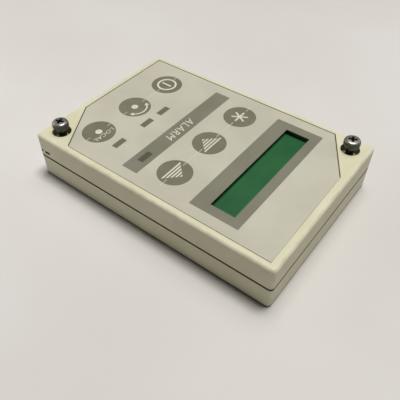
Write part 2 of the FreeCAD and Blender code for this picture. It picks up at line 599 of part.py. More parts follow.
# screws at the corners
def captive_screw(name, x, y):
    shaped = body_named("screw_%s_turned" % name)
    profile = sketch_at(shaped, "head_disc_" + name, UNDER_HEAD)
    circle(profile, "head_radius")
    pad(shaped, "head_pad_" + name, profile, "head_height")
    top = size["case_depth"] + size["screw_stand"] + size["head_height"]
    round_edges(shaped, "head_round_" + name, "head_round", level_at(top, 0))
    shank = sketch_at(shaped, "shank_disc_" + name, UNDER_HEAD)
    circle(shank, "screw_radius")
    below = pad(shaped, "shank_pad_" + name, shank, "screw_length")
    below.Reversed = True
    doc.recompute()
    tip = size["case_depth"] + size["screw_stand"] - size["screw_length"]
    chamfer = shaped.newObject("PartDesign::Chamfer", "tip_chamfer_" + name)
    at_tip = level_at(tip, 0)
    chamfer.Base = (below, ["Edge%d" % (i + 1) for i, edge in enumerate(below.Shape.Edges) if at_tip(edge)])
    bind(chamfer, "Size", "tip_chamfer")
    top_face = UNDER_HEAD + " + head_height"
    arms = [block("arm_across_" + name, "0", "0", "recess_arm_length", "recess_arm_width",
                  top_face + " - recess_arm_deep", top_face + " + past"),
            block("arm_along_" + name, "0", "0", "recess_arm_width", "recess_arm_length",
                  top_face + " - recess_arm_deep", top_face + " + past")]
    point = doc.addObject("Part::Cone", "recess_point_" + name)
    bind(point, "Radius1", "recess_cone_radius / 3")
    bind(point, "Radius2", "recess_cone_radius")
    bind(point, "Height", "recess_cone_deep")
    place(point, "0", "0", top_face + " - recess_cone_deep")
    screw = cut("captive_screw_" + name, shaped, arms + [point])
    place(screw, x, y, "0")
    return node(screw, "captive_screw_" + name)


def circle(sketch, radius):
    sketch.addGeometry(Part.Circle(FreeCAD.Vector(0, 0, 0), FreeCAD.Vector(0, 0, 1), 3), False)
    sketch.addConstraint(Sketcher.Constraint("Coincident", 0, 3, -1, 1))
    index = sketch.addConstraint(Sketcher.Constraint("Radius", 0, 3))
    bind(sketch, "Constraints[%d]" % index, radius)


def corner_screws():
    rings = []
    for name, (x, y) in CAPTIVE.items():
        captive_screw(name, x, y)
        disc = rod("washer_disc_" + name, x, y, "washer_radius",
                   UNDER_HEAD + " - washer_thickness", UNDER_HEAD)
        bore = rod("washer_bore_" + name, x, y, "screw_radius + running_clearance",
                   UNDER_HEAD + " - washer_thickness - past", UNDER_HEAD + " + past")
        split = block("washer_split_" + name, x + " + washer_radius", y, "2 * washer_radius", "washer_split",
                      UNDER_HEAD + " - washer_thickness - past", UNDER_HEAD + " + past")
        node(cut("lock_washer_" + name, disc, [bore, split]), "lock_washer_" + name)
        ring = rod("ring_disc_" + name, x, y, "ring_radius", "boss_joint", "boss_joint + ring_thickness")
        hole = rod("ring_hole_" + name, x, y, "screw_radius + running_clearance", "boss_joint - past",
                   "boss_joint + ring_thickness + past")
        rings.append(cut("retaining_ring_" + name, ring, [hole]))
    node(group("retaining_rings", rings), "retaining_rings")
    screws = []
    for name, (x, y) in CLOSING.items():
        head = rod("case_head_" + name, x, y, "case_head_radius", "case_screw_seat - case_head_height",
                   "case_screw_seat")
        shank = rod("case_shank_" + name, x, y, "case_screw_radius", "case_screw_seat - case_head_height / 2",
                    "boss_joint + case_screw_bite")
        screws.append(fuse("case_screw_" + name, [head, shank]))
    node(group("case_screws", screws), "case_screws")


front_cover()
rear_cover()
case_seal()
film_layer("overlay_film", FILM_BOTTOM, "film_thickness", "0", "key_clearance", "0", "lens_clearance")
film_layer("film_adhesive", RECESS_FLOOR, "adhesive_thickness", "adhesive_inset",
           "key_clearance + adhesive_inset", "adhesive_inset", "lens_clearance")
keys_and_switches()
display()
header()
main_board()
indicators()
terminals()
corner_screws()
doc.recompute()

for item in doc.Objects:
    if "Invalid" in item.State or "Error" in item.State:
        raise RuntimeError(item.Name + " failed: " + ", ".join(item.State))
for piece in nodes:
    if piece.Shape.isNull() or not piece.Shape.isValid() or not piece.Shape.Solids:
        raise RuntimeError(piece.Label + " has no valid solid")

os.makedirs("parts", exist_ok=True)
for piece in nodes:
    piece.Shape.exportStep("parts/%s.step" % piece.Label)
    print(piece.Label, len(piece.Shape.Solids), round(piece.Shape.Volume, 2))
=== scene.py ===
import math

import bmesh
import bpy
from mathutils import Matrix, Quaternion, Vector


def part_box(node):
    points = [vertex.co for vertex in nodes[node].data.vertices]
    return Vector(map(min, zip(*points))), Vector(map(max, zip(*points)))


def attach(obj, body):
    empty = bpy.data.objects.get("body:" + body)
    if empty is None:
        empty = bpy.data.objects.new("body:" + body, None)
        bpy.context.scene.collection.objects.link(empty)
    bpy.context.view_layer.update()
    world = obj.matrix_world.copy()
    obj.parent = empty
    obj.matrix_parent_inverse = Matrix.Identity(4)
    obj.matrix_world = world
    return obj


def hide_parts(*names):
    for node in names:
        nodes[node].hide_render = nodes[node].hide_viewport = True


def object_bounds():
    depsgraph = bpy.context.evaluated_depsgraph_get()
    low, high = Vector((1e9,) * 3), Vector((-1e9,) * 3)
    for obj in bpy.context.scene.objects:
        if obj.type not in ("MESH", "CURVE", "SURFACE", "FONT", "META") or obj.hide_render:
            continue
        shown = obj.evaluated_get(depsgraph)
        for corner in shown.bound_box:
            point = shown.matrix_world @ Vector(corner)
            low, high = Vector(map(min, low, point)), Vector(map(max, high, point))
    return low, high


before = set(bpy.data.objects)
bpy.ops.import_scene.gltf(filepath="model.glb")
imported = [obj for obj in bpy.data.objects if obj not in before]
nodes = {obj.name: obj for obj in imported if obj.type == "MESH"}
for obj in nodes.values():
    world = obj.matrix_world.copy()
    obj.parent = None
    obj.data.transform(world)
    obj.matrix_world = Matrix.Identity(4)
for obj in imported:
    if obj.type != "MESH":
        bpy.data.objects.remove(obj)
cadLow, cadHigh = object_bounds()
mm = 0.001
fullTurn = 2 * math.pi
print("frame loaded,", len(nodes), "nodes")


# places taken from the frame

def middle(name):
    low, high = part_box(name)
    return (low + high) / 2


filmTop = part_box("overlay_film")[1].z
gasketEdge = Vector((1.9 * mm, 1.9 * mm, 0))  # gasket wall and its step back from the window
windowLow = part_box("display_gasket")[0] + gasketEdge
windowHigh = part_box("display_gasket")[1] - gasketEdge


# materials

def shade(code):  # a colour code such as "c8c2b0" as linear red, green, blue, alpha
    parts = [int(code[at:at + 2], 16) / 255 for at in (0, 2, 4)]
    return [p / 12.92 if p <= 0.04045 else ((p + 0.055) / 1.055) ** 2.4 for p in parts] + [1.0]


# a socket that adds Math nodes when it stands in an expression
class Wire:
    def __init__(self, paint, socket):
        self.paint = paint
        self.socket = socket

    def maths(self, operation, *values):
        return self.paint.node("Math", {"operation": operation}, dict(enumerate(values)))

    def part(self):  # what is left after the whole steps
        return self.maths("FRACT", self)

    def capped(self):
        return self.maths("MINIMUM", self, 1.0)

    def out(self, name):  # another output of the same node
        return Wire(self.paint, self.socket.node.outputs[name])

    def __add__(self, other):
        return self.maths("ADD", self, other)

    def __sub__(self, other):
        return self.maths("SUBTRACT", self, other)

    def __rsub__(self, other):
        return self.maths("SUBTRACT", other, self)

    def __mul__(self, other):
        return self.maths("MULTIPLY", self, other)

    def __truediv__(self, other):
        return self.maths("DIVIDE", self, other)

    def __lt__(self, other):
        return self.maths("LESS_THAN", self, other)

    def __gt__(self, other):
        return self.maths("GREATER_THAN", self, other)

    def __abs__(self):
        return self.maths("ABSOLUTE", self)

    __radd__ = __add__
    __rmul__ = __mul__


class Paint:
    def __init__(self, name, fixed):
        self.material = bpy.data.materials.new(name)
        self.material.use_nodes = True
        self.tree = self.material.node_tree
        self.shader = self.tree.nodes["Principled BSDF"]
        for socket, value in fixed.items():
            self.shader.inputs[socket].default_value = value
        self.place = self.node("TexCoord", out="Object")
        axes = self.node("SeparateXYZ", sockets={0: self.place})
        self.x, self.y, self.z = axes, axes.out(1), axes.out(2)

    def node(self, kind, settings=None, sockets=None, out=0):
        made = self.tree.nodes.new("ShaderNode" + kind)
        for key, value in (settings or {}).items():
            setattr(made, key, value)
        for key, value in (sockets or {}).items():
            if isinstance(value, Wire):
                self.tree.links.new(value.socket, made.inputs[key])
            else:
                made.inputs[key].default_value = value
        return Wire(self, made.outputs[out])

    def noise(self, grain, detail=2.0, stretch=None):  # grain is the size of one fleck in metres
        place = self.place
        if stretch:
            place = self.node("VectorMath", {"operation": "MULTIPLY"}, {0: place, 1: stretch})
        return self.node("TexNoise", None, {"Vector": place, "Scale": 1 / grain, "Detail": detail})

    def fade(self, value, low, high):  # 0 below low, 1 above high, smooth between
        return self.node("MapRange", {"interpolation_type": "SMOOTHSTEP"}, {0: value, 1: low, 2: high})

    def mix(self, first, second, factor):
        return self.node("Mix", {"data_type": "RGBA"}, {0: factor, 6: first, 7: second}, out=2)

    def near(self, axis, at, reach):  # 1 at the place, 0 further off than the reach
        return 1 - self.fade(abs(axis - at), 0.0, reach)

    def awayFrom(self, spot):  # distance from the upright axis through the spot
        flat = self.node("CombineXYZ", None, {0: self.x, 1: self.y})
        axis = (spot.x, spot.y, 0)
        return self.node("VectorMath", {"operation": "DISTANCE"}, {0: flat, 1: axis}, out="Value")

    def bump(self, height, rise):  # rise is the height of the relief in metres
        return self.node("Bump", None, {"Strength": 1.0, "Distance": rise, "Height": height})

    def show(self, **sockets):
        names = {"color": "Base Color", "rough": "Roughness", "normal": "Normal", "metal": "Metallic"}
        for key, value in sockets.items():
            self.tree.links.new(value.socket, self.shader.inputs[names[key]])
        return self.material


# moulded plastic: drifting tint, fine spark-eroded grain and dust specks
def moulded(name, look, finish=None):
    paint = Paint(name, {"IOR": 1.5, "Specular IOR Level": look["gloss"]})
    drift = paint.noise(look["drift"], 3.0)
    grain = paint.noise(look["grain"], 2.0)
    speck = paint.fade(paint.noise(look["speck"], 1.0), 0.70, 0.76)
    color = paint.mix(shade(look["deep"]), shade(look["pale"]), paint.fade(drift, 0.35, 0.65))
    color = paint.mix(color, shade(look["dirt"]), speck * look["speckShare"])
    rough = look["rough"] + (drift - 0.5) * 0.16 + (grain - 0.5) * 0.12
    if finish:
        color, rough = finish(paint, color, rough)
    return paint.show(color=color, rough=rough, normal=paint.bump(grain, look["relief"]))


# edge is the colour of a painted highlight on the rounded edges; dark is painted shade, and dirt serves both
# the specks and painted shade
coverLook = {
    "pale": "e0dcbe", "deep": "d9d5b5", "dirt": "8b846a", "edge": "fbf7e4", "dark": "423d1d",
    "gloss": 0.42, "rough": 0.44, "drift": 0.022, "grain": 0.00055, "speck": 0.0011, "speckShare": 0.3,
    "relief": 0.00004, "rubAndSheen": 0.006, "edgeReach": 0.0022, "edgeHighlightShare": 0.6,
    "seamReach": 0.0011, "seamCore": 0.00048, "seamShadeShare": 0.95,
    "footReach": 0.0014, "footCore": 0.0008, "footShadeShare": 0.9,
    "filmGap": 0.0007, "gapHigh": 0.00012, "gapLow": 0.0008, "gapShadeShare": 0.9,
    "sinkRadius": 0.0046, "sinkRim": 0.00025, "sinkHigh": 0.0004, "sinkLow": 0.0022, "sinkShadeShare": 0.55,
    "slotRise": 0.00255, "slotHigh": 0.0011, "slotDeep": 0.00175, "skin": 0.00018,
    "hollows": ((0, 0.0027), (0.0043, 0.0075)),  # the notch and the slot, from the cover's low y end
}


def coverPaintedLight(paint, color, rough):
    look = coverLook
    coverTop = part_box("front_cover")[1].z
    sideX = paint.fade(abs(paint.x), cadHigh.x - look["edgeReach"], cadHigh.x)
    sideY = paint.fade(abs(paint.y), cadHigh.y - look["edgeReach"], cadHigh.y)
    side = sideX.maths("MAXIMUM", sideX, sideY)
    faceZ = paint.fade(paint.z, coverTop - look["edgeReach"], coverTop)
    rubAndSheen = paint.noise(look["rubAndSheen"], 4.0)
    # painted highlight on the rounded edges and corners, streaked by noise
    edge = (sideX * sideY + sideY * faceZ + faceZ * sideX) * paint.fade(rubAndSheen, 0.3, 0.6)
    color = paint.mix(color, shade(look["edge"]), edge.capped() * look["edgeHighlightShare"])

    # painted shade along the parting line, patchy with noise, and painted contact shade round the bottom,
    # both in the dirt colour
    seam = middle("case_seal").z
    shadeBand = paint.near(paint.z, seam, look["seamReach"]) * paint.fade(rubAndSheen, 0.4, 0.62)
    footShade = side * (1 - paint.fade(paint.z, 0.0, look["footReach"]))
    color = paint.mix(color, shade(look["dirt"]), shadeBand * 0.35 + footShade * 0.5)

    # painted shade: a dark line along the parting line, in the gap beside the film and down the screw sinks
    line = 1 - paint.fade(abs(paint.z - seam), look["seamCore"], look["seamCore"] * 1.5)
    dark = line * look["seamShadeShare"]
    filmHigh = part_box("overlay_film")[1]
    gap = (paint.x > -filmHigh.x - look["filmGap"]) * (paint.y > -filmHigh.y - look["filmGap"])
    gap = gap * (paint.x < filmHigh.x - look["skin"]) * (paint.y < filmHigh.y - look["skin"])
    gap = gap * (paint.z < coverTop - look["gapHigh"]) * (paint.z > coverTop - look["gapLow"])
    dark = dark + gap * look["gapShadeShare"]
    for end in ("top", "bottom"):
        reach = paint.awayFrom(middle("captive_screw_" + end))
        wall = 1 - paint.fade(reach, look["sinkRadius"], look["sinkRadius"] + look["sinkRim"])
        depth = 1 - paint.fade(paint.z, coverTop - look["sinkLow"], coverTop - look["sinkHigh"])
        dark = dark + (paint.z > seam) * wall * depth * look["sinkShadeShare"]

    # painted shade inside the blade slot and the notch at the corner, with a painted dark border at their
    # rims
    slotLow = seam + look["slotRise"]
    hollowShade = (paint.z > slotLow - look["skin"]) * (paint.z < slotLow + look["slotHigh"] + look["skin"])
    hollowShade = hollowShade * (paint.x > cadHigh.x - look["slotDeep"])
    for start, end in look["hollows"]:
        dark = dark + hollowShade * (paint.y > cadLow.y + start) * (paint.y < cadLow.y + end)
    # painted contact shade in a thin band at the bottom of the sides
    core = 1 - paint.fade(paint.z, look["footCore"], look["footCore"] * 1.6)
    dark = (dark + side * core * look["footShadeShare"]).capped()
    color = paint.mix(color, shade(look["dark"]), dark)
    return color, rough - edge * 0.1 + dark * 0.4


# the front film: velvet-finish polyester over pale grey-beige ink
filmLook = {
    "pale": "c7c5b3", "deep": "bfbcaa", "warm": "c7c0b0", "scuffed": "dad6c6", "rough": 0.5, "gloss": 0.35,
    "drift": 0.03, "blush": 0.011, "scuff": 0.004, "grain": 0.00032, "relief": 0.000012,
}


def filmPaint():
    look = filmLook
    paint = Paint("velvet_film", {"IOR": 1.55, "Specular IOR Level": look["gloss"]})
    drift = paint.noise(look["drift"], 3.0)
    blush = paint.noise(look["blush"], 2.0)
    grain = paint.noise(look["grain"], 1.0)
    scuff = paint.fade(paint.noise(look["scuff"], 5.0, (1.0, 7.0, 1.0)), 0.66, 0.72)
    color = paint.mix(shade(look["deep"]), shade(look["pale"]), paint.fade(drift, 0.35, 0.65))
    color = paint.mix(color, shade(look["warm"]), paint.fade(blush, 0.45, 0.7) * 0.5)
    color = paint.mix(color, shade(look["scuffed"]), scuff * 0.25)
    rough = look["rough"] + (grain - 0.5) * 0.2 - scuff * 0.12
    return paint.show(color=color, rough=rough, normal=paint.bump(grain, look["relief"]))


# screen-printed ink: pinholes and a slight unevenness of the pass
inkGrain = {"weave": 0.00035, "pinhole": 0.0006, "relief": 0.00001}


def ink(name, look):
    paint = Paint(name, {"IOR": 1.5, "Specular IOR Level": 0.35})
    weave = paint.noise(inkGrain["weave"], 1.0)
    drift = paint.noise(look["drift"], 3.0)
    pinhole = paint.fade(paint.noise(inkGrain["pinhole"], 2.0), 0.72, 0.78)
    color = paint.mix(shade(look["deep"]), shade(look["pale"]), paint.fade(drift, 0.35, 0.65))
    color = paint.mix(color, shade(look["under"]), pinhole * 0.5)
    rough = 0.5 + (weave - 0.5) * 0.2
    return paint.show(color=color, rough=rough, normal=paint.bump(weave, inkGrain["relief"]))


greyInk = {"pale": "838171", "deep": "7c7a6a", "under": "b9b4a2", "drift": 0.02}
whiteInk = {"pale": "e0dccb", "deep": "d6d2c0", "under": "b9b4a2", "drift": 0.01}
faintInk = {"pale": "d0ccbc", "deep": "ccc8b6", "under": "c2bda9", "drift": 0.01}
lineInk = {"pale": "d3cfbb", "deep": "cdc9b4", "under": "c2bda9", "drift": 0.01}
tickInk = {"pale": "bdb9a2", "deep": "b3af98", "under": "8f8c79", "drift": 0.004}


# key caps: the top is printed grey, the skirt under the film is the bare plastic
keyLook = {
    "pale": "7c7967", "deep": "75725e", "bare": "b8b199", "rubAndSheen": "878471", "drift": 0.015, "grain": 0.00032,
    "touch": 0.005, "skirtDrop": 0.0003, "relief": 0.000012,
}


def keyPaint():
    look = keyLook
    paint = Paint("key_print", {"IOR": 1.5, "Specular IOR Level": 0.35})
    drift = paint.noise(look["drift"], 3.0)
    grain = paint.noise(look["grain"], 1.0)
    touch = paint.fade(paint.noise(look["touch"], 4.0), 0.5, 0.75)
    color = paint.mix(shade(look["deep"]), shade(look["pale"]), paint.fade(drift, 0.35, 0.65))
    color = paint.mix(color, shade(look["rubAndSheen"]), touch * 0.4)
    skirt = paint.z < filmTop - look["skirtDrop"]
    color = paint.mix(color, shade(look["bare"]), skirt)
    return paint.show(color=color, rough=0.5 + (grain - 0.5) * 0.2 - touch * 0.1,
                      normal=paint.bump(grain, look["relief"]))


# indicator lenses: smoked acrylic over a ribbed diffuser, the alarm one darker
lensLook = {
    "smoke": "6b6957", "rib": "7a7763", "alarm": "545243", "alarmRib": "5e5c4c", "ribPitch": 0.0009,
    "dust": 0.0005, "relief": 0.000006,
}


def lensPaint():
    look = lensLook
    paint = Paint("smoked_lens", {"IOR": 1.49, "Coat Roughness": 0.12, "Coat Weight": 0.2})
    rib = paint.fade(abs((paint.x / look["ribPitch"]).part() - 0.5), 0.1, 0.4)
    dust = paint.noise(look["dust"], 3.0)
    alarm = paint.y > middle("indicator_lenses").y
    pattern = rib * 0.7 + dust * 0.3
    run = paint.mix(shade(look["smoke"]), shade(look["rib"]), pattern)
    dark = paint.mix(shade(look["alarm"]), shade(look["alarmRib"]), pattern)
    return paint.show(color=paint.mix(run, dark, alarm), rough=0.24 + dust * 0.25,
                      normal=paint.bump(dust, look["relief"]))


# display: green polariser with the faintest trace of two rows of character cells
displayLook = {
    "green": "276539", "deep": "215b33", "cell": "1d542f", "dust": "7d9a80", "relief": 0.00001,
    "columns": 16, "rows": 2, "cellGap": 0.18, "dotColumns": 6, "dotRows": 9, "dotGap": 0.2,
    "sideMargin": 0.04, "endMargin": 0.14,  # shares of the window left clear of cells
}


def displayPaint():
    look = displayLook
    paint = Paint("display_green", {"IOR": 1.5, "Specular IOR Level": 0.3})
    wide, tall = windowHigh.x - windowLow.x, windowHigh.y - windowLow.y
    across = (paint.x - (windowLow.x + wide * look["sideMargin"])) / (wide * (1 - 2 * look["sideMargin"]))
    up = (paint.y - (windowLow.y + tall * look["endMargin"])) / (tall * (1 - 2 * look["endMargin"]))
    inside = (across > 0.0) * (across < 1.0) * (up > 0.0) * (up < 1.0)

    def within(value, count, gap):  # 1 inside a cell, 0 in the gap between cells
        return abs((value * count).part() - 0.5) < 0.5 - gap / 2

    cell = within(across, look["columns"], look["cellGap"]) * within(up, look["rows"], look["cellGap"])
    dots = within(across, look["columns"] * look["dotColumns"], look["dotGap"])
    dots = dots * within(up, look["rows"] * look["dotRows"], look["dotGap"])
    drift = paint.noise(0.02, 2.0)
    color = paint.mix(shade(look["deep"]), shade(look["green"]), paint.fade(drift, 0.3, 0.7))
    color = paint.mix(color, shade(look["cell"]), inside * cell * (0.12 + dots * 0.14))
    dust = paint.fade(paint.noise(0.0007, 3.0), 0.66, 0.74)
    color = paint.mix(color, shade(look["dust"]), dust * 0.12)
    rough = 0.34 + dust * 0.2 + drift * 0.06
    return paint.show(color=color, rough=rough, normal=paint.bump(drift, look["relief"]))


# plated and bare metals: brushed streaks, stains and small dents
def metal(name, look, stretch=(1.0, 1.0, 1.0), finish=None):
    paint = Paint(name, {"Metallic": look["plated"]})
    streak = paint.noise(look["streak"], 4.0, stretch)
    stain = paint.fade(paint.noise(0.0016, 4.0), 0.5, 0.72)
    pit = paint.fade(paint.noise(0.0005, 2.0), 0.62, 0.74)
    color = paint.mix(shade(look["deep"]), shade(look["pale"]), paint.fade(streak, 0.35, 0.65))
    color = paint.mix(color, shade(look["stain"]), stain * look["stainShare"] + pit * 0.25)
    rough = look["rough"] + (streak - 0.5) * 0.3 + stain * 0.18
    if finish:
        color, rough = finish(paint, color, rough)
    return paint.show(color=color, rough=rough, normal=paint.bump(streak - pit * 0.5, look["relief"]))


screwSteel = {"plated": 0.7, "pale": "b9b9b2", "deep": "8d8d86", "stain": "55564a",
              "stainShare": 0.6, "streak": 0.0004, "rough": 0.3, "relief": 0.00002}
washerSteel = {"plated": 1.0, "pale": "75766c", "deep": "54554b", "stain": "34352c",
               "stainShare": 0.7, "streak": 0.0003, "rough": 0.4, "relief": 0.00002}
zincPlate = {"plated": 1.0, "pale": "c4c6c4", "deep": "a3a6a2", "stain": "7c7a66",
             "stainShare": 0.4, "streak": 0.0005, "rough": 0.32, "relief": 0.00002}
bezelSteel = {"plated": 1.0, "pale": "8c8d8a", "deep": "767773", "stain": "5c5d58",
              "stainShare": 0.4, "streak": 0.0006, "rough": 0.42, "relief": 0.00001}
goldPlate = {"plated": 1.0, "pale": "d9b869", "deep": "bf9a4c", "stain": "8b7440",
             "stainShare": 0.3, "streak": 0.0003, "rough": 0.3, "relief": 0.00001}
brightCan = {"plated": 1.0, "pale": "c9cbcb", "deep": "aeb0b0", "stain": "8a8c8a",
             "stainShare": 0.3, "streak": 0.0006, "rough": 0.24, "relief": 0.00001}


# painted shade on the side of the pan heads and down the cross recess
headShade = {"shadeBand": "3c402b", "rimDrop": 0.45 * mm, "sideDrop": 1.3 * mm, "recess": "1d1d15",
            "recessReach": 2.7 * mm, "recessHigh": 0.3 * mm, "recessLow": 2.2 * mm}


def screwPaintedShade(paint, color, rough):
    look = headShade
    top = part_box("captive_screw_top")[1].z
    # painted shade on the head's side, darker below the rim
    side = 1 - paint.fade(paint.z, top - look["sideDrop"], top - look["rimDrop"])
    color = paint.mix(color, shade(look["shadeBand"]), side * 0.8)
    # painted shade in the cross recess
    for end in ("top", "bottom"):
        reach = paint.awayFrom(middle("captive_screw_" + end))
        inside = (reach < look["recessReach"]) * (paint.z < top - look["recessHigh"])
        color = paint.mix(color, shade(look["recess"]), inside * (paint.z > top - look["recessLow"]) * 0.85)
    return color, rough + side * 0.25


# rubber and foam: matt, with pores
def soft(name, look):
    paint = Paint(name, {"IOR": 1.5, "Specular IOR Level": 0.2})
    pore = paint.noise(look["pore"], 2.0)
    bloom = paint.noise(0.006, 4.0)
    color = paint.mix(shade(look["deep"]), shade(look["pale"]), paint.fade(pore, 0.35, 0.65))
    color = paint.mix(color, shade(look["bloom"]), paint.fade(bloom, 0.45, 0.75) * 0.3)
    return paint.show(color=color, rough=0.78 + (pore - 0.5) * 0.3, normal=paint.bump(pore, look["relief"]))


sealRubber = {"pale": "3b3727", "deep": "2b281c", "bloom": "575140", "pore": 0.0005, "relief": 0.00004}
gasketFoam = {"pale": "63664f", "deep": "515440", "bloom": "5c5f4e", "pore": 0.0004, "relief": 0.00008}
stripRubber = {"pale": "a9a08f", "deep": "6f675a", "bloom": "c3bbab", "pore": 0.0003, "relief": 0.00002}


# circuit board: solder mask over tracks and vias on a grid of half the usual 2.54 mm pitch
boardGrid = {
    "pitch": 1.27 * mm, "trackHalf": 0.14, "rowShare": 0.55, "columnShare": 0.2, "viaReach": 0.27,
    "viaShare": 0.13, "weave": 0.0006, "relief": 0.00003,
}


def board(name, look):
    paint = Paint(name, {"IOR": 1.5, "Specular IOR Level": 0.5})
    grid = boardGrid

    def cellOf(axis):  # the cell's number and how far the point is from its middle
        steps = axis / grid["pitch"]
        return steps.maths("FLOOR", steps), abs(steps.part() - 0.5)

    column, offX = cellOf(paint.x)
    row, offY = cellOf(paint.y)
    chance = paint.node("TexWhiteNoise", None, {0: paint.node("CombineXYZ", None, {0: column, 1: row})})
    rowChance = paint.node("TexWhiteNoise", {"noise_dimensions": "1D"}, {"W": row})
    track = (offY < grid["trackHalf"]) * (rowChance < grid["rowShare"])
    track = (track + (offX < grid["trackHalf"]) * (chance > 1 - grid["columnShare"])).capped()
    off = paint.node("VectorMath", {"operation": "LENGTH"},
                     {0: paint.node("CombineXYZ", None, {0: offX, 1: offY})}, out="Value")
    via = (off < grid["viaReach"]) * (chance < grid["viaShare"])
    weave = paint.noise(grid["weave"], 2.0)
    color = paint.mix(shade(look["mask"]), shade(look["maskDeep"]), weave)
    color = paint.mix(color, shade(look["track"]), track * 0.8)
    color = paint.mix(color, shade(look["tin"]), via)
    return paint.show(color=color, rough=0.36 + weave * 0.12, metal=via * 0.9,
                      normal=paint.bump(track + via, grid["relief"]))


mainBoard = {"mask": "1f5b34", "maskDeep": "174a29", "track": "2f7a45", "tin": "c3c4bd"}
displayBoard = {"mask": "1d4f3c", "maskDeep": "163f30", "track": "2c6d54", "tin": "c9b26a"}

plungerPlastic = {"pale": "c9c6bd", "deep": "bebbb0", "dirt": "88857a", "gloss": 0.4, "rough": 0.4,
                  "drift": 0.004, "grain": 0.0004, "speck": 0.0009, "speckShare": 0.2, "relief": 0.00001}
blackMoulding = {"pale": "26262a", "deep": "1c1c1f", "dirt": "4a4a48", "gloss": 0.4, "rough": 0.42,
                 "drift": 0.006, "grain": 0.0004, "speck": 0.0008, "speckShare": 0.4, "relief": 0.00002}
terminalPlastic = {"pale": "3f8a52", "deep": "357846", "dirt": "21482c", "gloss": 0.45, "rough": 0.38,
                   "drift": 0.006, "grain": 0.0005, "speck": 0.0009, "speckShare": 0.3, "relief": 0.00002}
ringNylon = {"pale": "e6e3d6", "deep": "d8d4c4", "dirt": "a29d88", "gloss": 0.35, "rough": 0.5,
             "drift": 0.004, "grain": 0.0004, "speck": 0.0009, "speckShare": 0.3, "relief": 0.00001}
chipEpoxy = {"pale": "2b2b2c", "deep": "222223", "dirt": "55544f", "gloss": 0.3, "rough": 0.6,
             "drift": 0.005, "grain": 0.0002, "speck": 0.0006, "speckShare": 0.4, "relief": 0.00003}
pottingResin = {"pale": "17171a", "deep": "0f0f11", "dirt": "35342f", "gloss": 0.5, "rough": 0.2,
                "drift": 0.004, "grain": 0.0015, "speck": 0.0007, "speckShare": 0.3, "relief": 0.00006}
adhesiveSheet = {"pale": "cfc7ac", "deep": "c2b99c", "dirt": "8d8468", "gloss": 0.3, "rough": 0.6,
                 "drift": 0.008, "grain": 0.0008, "speck": 0.0012, "speckShare": 0.4, "relief": 0.00003}
lightGuide = {"pale": "dfe8da", "deep": "cfdccb", "dirt": "9aa897", "gloss": 0.5, "rough": 0.25,
              "drift": 0.006, "grain": 0.0004, "speck": 0.0006, "speckShare": 0.5, "relief": 0.00001}
ledResin = {"pale": "d7d2c9", "deep": "c9b9ae", "dirt": "a04a3a", "gloss": 0.5, "rough": 0.16,
            "drift": 0.002, "grain": 0.0006, "speck": 0.0007, "speckShare": 0.3, "relief": 0.00001}

finishes = {
    "cover_plastic": moulded("cover_plastic_grain", coverLook, coverPaintedLight),
    "seal_rubber": soft("seal_rubber_cord", sealRubber),
    "film": filmPaint(),
    "adhesive": moulded("adhesive_sheet", adhesiveSheet),
    "lens": lensPaint(),
    "key_print": keyPaint(),
    "plunger_plastic": moulded("plunger_acetal", plungerPlastic),
    "gasket_foam": soft("gasket_black_foam", gasketFoam),
    "bezel_metal": metal("bezel_sheet_steel", bezelSteel, (1.0, 12.0, 1.0)),
    "display_green": displayPaint(),
    "light_guide": moulded("light_guide_acrylic", lightGuide),
    "strip_rubber": soft("strip_striped_rubber", stripRubber),
    "display_board": board("display_board_mask", displayBoard),
    "potting": moulded("potting_resin", pottingResin),
    "zinc_screw": metal("zinc_plate", zincPlate),
    "black_moulding": moulded("black_moulding_grain", blackMoulding),
    "gold_pin": metal("gold_plate", goldPlate, (1.0, 1.0, 8.0)),
    "main_board": board("main_board_mask", mainBoard),
    "chip_epoxy": moulded("chip_epoxy_matt", chipEpoxy),
    "bright_can": metal("bright_drawn_can", brightCan, (1.0, 1.0, 6.0)),
    "led_resin": moulded("led_clear_resin", ledResin),
    "terminal_plastic": moulded("terminal_green_nylon", terminalPlastic),
    "captive_screw": metal("captive_screw_steel", screwSteel, finish=screwPaintedShade),
    "washer_steel": metal("washer_spring_steel", washerSteel),
    "ring_nylon": moulded("ring_natural_nylon", ringNylon),
}
for made in nodes.values():
    wanted = made.data.materials[0].name.split(".")[0]
    made.material_slots[0].material = finishes[wanted]
print("materials on", len(nodes), "frame nodes")


# helpers for the new pieces

def keep(name, shape, body, slot, finish, *stands, soften=None):
    bmesh.ops.remove_doubles(shape, verts=shape.verts, dist=1e-7)
    bmesh.ops.recalc_face_normals(shape, faces=shape.faces)
    mesh = bpy.data.meshes.new(name)
    shape.to_mesh(mesh)
    shape.free()
    return keepMesh(name, mesh, body, slot, finish, *stands, soften=soften)


def keepMesh(name, mesh, body, slot, finish, *stands, soften=None):
    mesh.materials.clear()
    mesh.materials.append(finish)
    if soften:  # smooth shading except where faces meet at more than this angle
        mesh.shade_smooth()
        mesh.set_sharp_from_angle(angle=math.radians(soften))
    piece = bpy.data.objects.new(name, mesh)
    bpy.context.scene.collection.objects.link(piece)
    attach(piece, body)
    if stands:
        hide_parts(*stands)
    return piece


def turned(shape, outline, centre, steps):  # outline of (radius, height) spun about an upright axis
    corners = [shape.verts.new((centre.x + r, centre.y, centre.z + h)) for r, h in outline]
    edges = [shape.edges.new(pair) for pair in zip(corners, corners[1:])]
    bmesh.ops.spin(shape, geom=corners + edges, cent=centre, axis=(0, 0, 1), angle=fullTurn,
                   steps=steps, use_merge=True)


def helix(shape, section, centre, turns, rise, stepsPerTurn):  # closed section of (radius, height) swept up
    corners = [shape.verts.new((centre.x + r, centre.y, centre.z + h)) for r, h in section]
    face = shape.faces.new(corners)
    steps = round(turns * stepsPerTurn)
    bmesh.ops.spin(shape, geom=corners + list(face.edges) + [face], cent=centre, axis=(0, 0, 1),
                   angle=turns * fullTurn, steps=steps, dvec=(0, 0, rise / steps))


